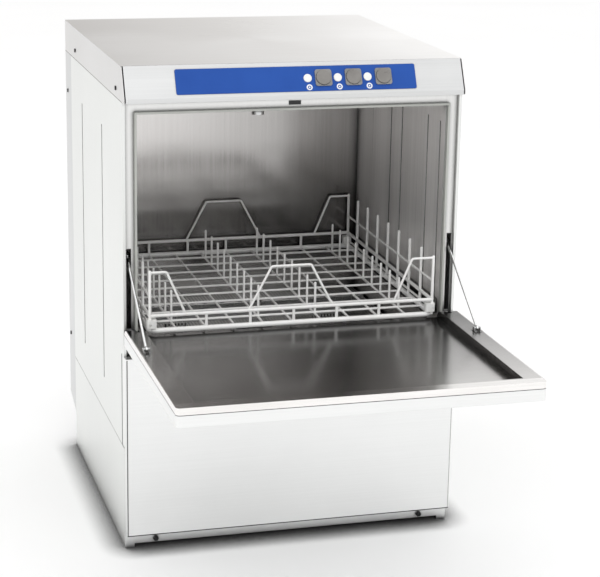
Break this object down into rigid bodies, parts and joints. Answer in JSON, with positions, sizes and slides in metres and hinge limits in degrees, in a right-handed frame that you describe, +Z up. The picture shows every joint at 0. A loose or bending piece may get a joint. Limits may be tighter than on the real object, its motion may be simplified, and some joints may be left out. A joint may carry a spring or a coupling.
{
  "type": "undercounter dishwasher",
  "caption": "Front-loading undercounter dishwasher with a drop-down door, a wire rack that rolls out on it, wash and rinse arms, and a leaning control panel.",
  "frame": {"origin": "on the floor, under the middle of the closed cabinet", "axes": "+X to the right seen from the front, +Y to the back, +Z up; the door opens towards -Y"},
  "size_m": [0.5782, 1.0051, 0.82],
  "materials": {
    "stainless": "fine brushed grain",
    "grey_plastic": "fine satin",
    "black_plastic": "matt",
    "black_steel": "semi-matt",
    "black_rubber": "matt",
    "grey_pipe": "satin",
    "fascia_blue": "satin film",
    "brass": "turned",
    "white_plastic": "gloss",
    "rack_shoe": "satin",
    "coated_wire": "smooth plastic coating",
    "pump_metal": "cast"
  },
  "bodies": {
    "cabinet": {"arm_posts": "stainless", "base_frame": "stainless", "base_pan": "stainless", "base_skirt_left": "stainless", "base_skirt_rear": "stainless", "base_skirt_right": "stainless", "boiler": "stainless", "button_bezels": "grey_plastic", "cable_gland": "black_plastic", "chamber_back": "stainless", "chamber_ceiling": "stainless", "chamber_wall_left": "stainless", "chamber_wall_right": "stainless", "control_panel": "stainless", "cover_screws": "black_steel", "door_gasket": "black_rubber", "door_switch": "black_plastic", "drain_spigot": "grey_pipe", "fascia_overlay": "fascia_blue", "front_flange_left": "stainless", "front_flange_right": "stainless", "front_header": "stainless", "front_sill": "stainless", "hinge_brackets": "stainless", "inlet_valve": "brass", "lower_front_panel": "stainless", "overflow_pipe": "stainless", "pilot_lamps": "white_plastic", "plinth_bolts": "black_steel", "plinth_front": "stainless", "rack_rails": "stainless", "rear_cover": "stainless", "side_panel_left": "stainless", "side_panel_right": "stainless", "switch_blocks": "black_plastic", "symbol_discs": "white_plastic", "tank_filters": "stainless", "tank_heater": "stainless", "top_cover": "stainless", "wash_pump": "pump_metal", "wash_tank": "stainless"},
    "door": {"door_skin": "stainless", "door_liner": "stainless", "door_edge_seal": "black_rubber", "hinge_pins": "stainless", "stay_brackets": "stainless"},
    "stay_rod_left": {"stay_rod_left": "stainless"},
    "stay_rod_right": {"stay_rod_right": "stainless"},
    "rack": {"rack_floor": "coated_wire", "rack_sides": "coated_wire", "rack_ends": "coated_wire", "rack_pegs": "coated_wire", "rack_corners": "rack_shoe"},
    "lower_wash_arm": {"lower_wash_arm": "stainless"},
    "lower_rinse_arm": {"lower_rinse_arm": "stainless"},
    "upper_wash_arm": {"upper_wash_arm": "stainless"},
    "upper_rinse_arm": {"upper_rinse_arm": "stainless"},
    "push_button_1": {"push_button_1": "grey_plastic"},
    "push_button_2": {"push_button_2": "grey_plastic"},
    "push_button_3": {"push_button_3": "grey_plastic"}
  },
  "joints": [
    {"name": "door_hinge", "type": "hinge", "parent": "cabinet", "child": "door", "pos_m": [0, -0.308, 0.369], "axis": [-1, 0, 0], "range_deg": [0, 90]},
    {"name": "stay_left", "type": "hinge", "parent": "door", "child": "stay_rod_left", "pos_m": [-0.277, -0.426, 0.3956], "axis": [-1, 0, 0], "range_deg": [-41, 0]},
    {"name": "stay_right", "type": "hinge", "parent": "door", "child": "stay_rod_right", "pos_m": [0.277, -0.426, 0.3956], "axis": [-1, 0, 0], "range_deg": [-41, 0]},
    {"name": "rack_slide", "type": "slide", "parent": "cabinet", "child": "rack", "axis": [0, 1, 0], "range_m": [-0.37, 0]},
    {"name": "lower_wash_arm_spin", "type": "hinge", "parent": "cabinet", "child": "lower_wash_arm", "pos_m": [0, -0.036, 0.35], "axis": [0, 0, 1], "continuous": true},
    {"name": "lower_rinse_arm_spin", "type": "hinge", "parent": "cabinet", "child": "lower_rinse_arm", "pos_m": [0, -0.036, 0.35], "axis": [0, 0, 1], "continuous": true},
    {"name": "upper_wash_arm_spin", "type": "hinge", "parent": "cabinet", "child": "upper_wash_arm", "pos_m": [0, -0.036, 0.71], "axis": [0, 0, 1], "continuous": true},
    {"name": "upper_rinse_arm_spin", "type": "hinge", "parent": "cabinet", "child": "upper_rinse_arm", "pos_m": [0, -0.036, 0.71], "axis": [0, 0, 1], "continuous": true},
    {"name": "button_1_press", "type": "slide", "parent": "cabinet", "child": "push_button_1", "axis": [0, 0.8944, -0.4472], "range_m": [0, 0.0025], "stiffness_N_per_m": 600, "springref_m": -0.002},
    {"name": "button_2_press", "type": "slide", "parent": "cabinet", "child": "push_button_2", "axis": [0, 0.8944, -0.4472], "range_m": [0, 0.0025], "stiffness_N_per_m": 600, "springref_m": -0.002},
    {"name": "button_3_press", "type": "slide", "parent": "cabinet", "child": "push_button_3", "axis": [0, 0.8944, -0.4472], "range_m": [0, 0.0025], "stiffness_N_per_m": 600, "springref_m": -0.002}
  ],
  "couplings": [
    {"joint": "stay_left", "follows": "door_hinge", "ratio": -0.45},
    {"joint": "stay_right", "follows": "door_hinge", "ratio": -0.45}
  ]
}
